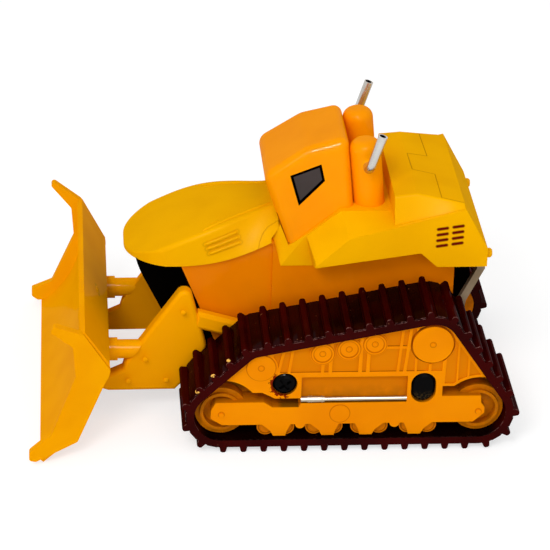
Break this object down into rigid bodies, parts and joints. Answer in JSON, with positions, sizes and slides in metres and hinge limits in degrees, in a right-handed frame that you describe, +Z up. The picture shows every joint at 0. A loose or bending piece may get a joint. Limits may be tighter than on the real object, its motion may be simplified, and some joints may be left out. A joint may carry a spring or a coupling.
{
  "type": "toy crawler dozer",
  "caption": "Small toy crawler dozer with a lifting blade, lugged track loops, moulded bonnet, hollow cab and twin mufflers.",
  "frame": {"origin": "on the floor under the middle of the whole toy, blade lowered", "axes": "+X forward to the blade, +Y to the machine's left, +Z up"},
  "size_m": [0.1208, 0.086, 0.0763],
  "materials": {
    "yellow_plastic": "satin",
    "blade_yellow": "satin",
    "cab_orange": "glossy",
    "frame_orange": "satin",
    "track_plastic": "glossy",
    "chrome": "polished",
    "screw_black": "glossy",
    "window_grey": "glossy",
    "black_plastic": "satin",
    "strut_metal": "satin"
  },
  "bodies": {
    "machine": {"base_plate": "frame_orange", "bonnet": "yellow_plastic", "cab": "cab_orange", "chassis": "frame_orange", "exhaust_left": "chrome", "exhaust_right": "chrome", "grille": "black_plastic", "muffler_left": "cab_orange", "muffler_right": "cab_orange", "rear_bracket": "black_plastic", "rear_cover": "yellow_plastic", "rear_strut_left": "strut_metal", "rear_strut_right": "strut_metal", "side_screws_left": "screw_black", "side_screws_right": "screw_black", "side_window_left": "window_grey", "side_window_right": "window_grey", "tension_rod_left": "chrome", "tension_rod_right": "chrome", "track_frame_left": "frame_orange", "track_frame_right": "frame_orange", "track_left": "track_plastic", "track_right": "track_plastic", "windscreen": "window_grey"},
    "blade_group": {"blade": "blade_yellow", "blade_arm_left": "blade_yellow", "blade_arm_right": "blade_yellow"}
  },
  "joints": [
    {"name": "blade_lift", "type": "hinge", "parent": "machine", "child": "blade_group", "pos_m": [0.00605, 0, 0.0225], "axis": [0, -1, 0], "range_deg": [0, 20]}
  ]
}
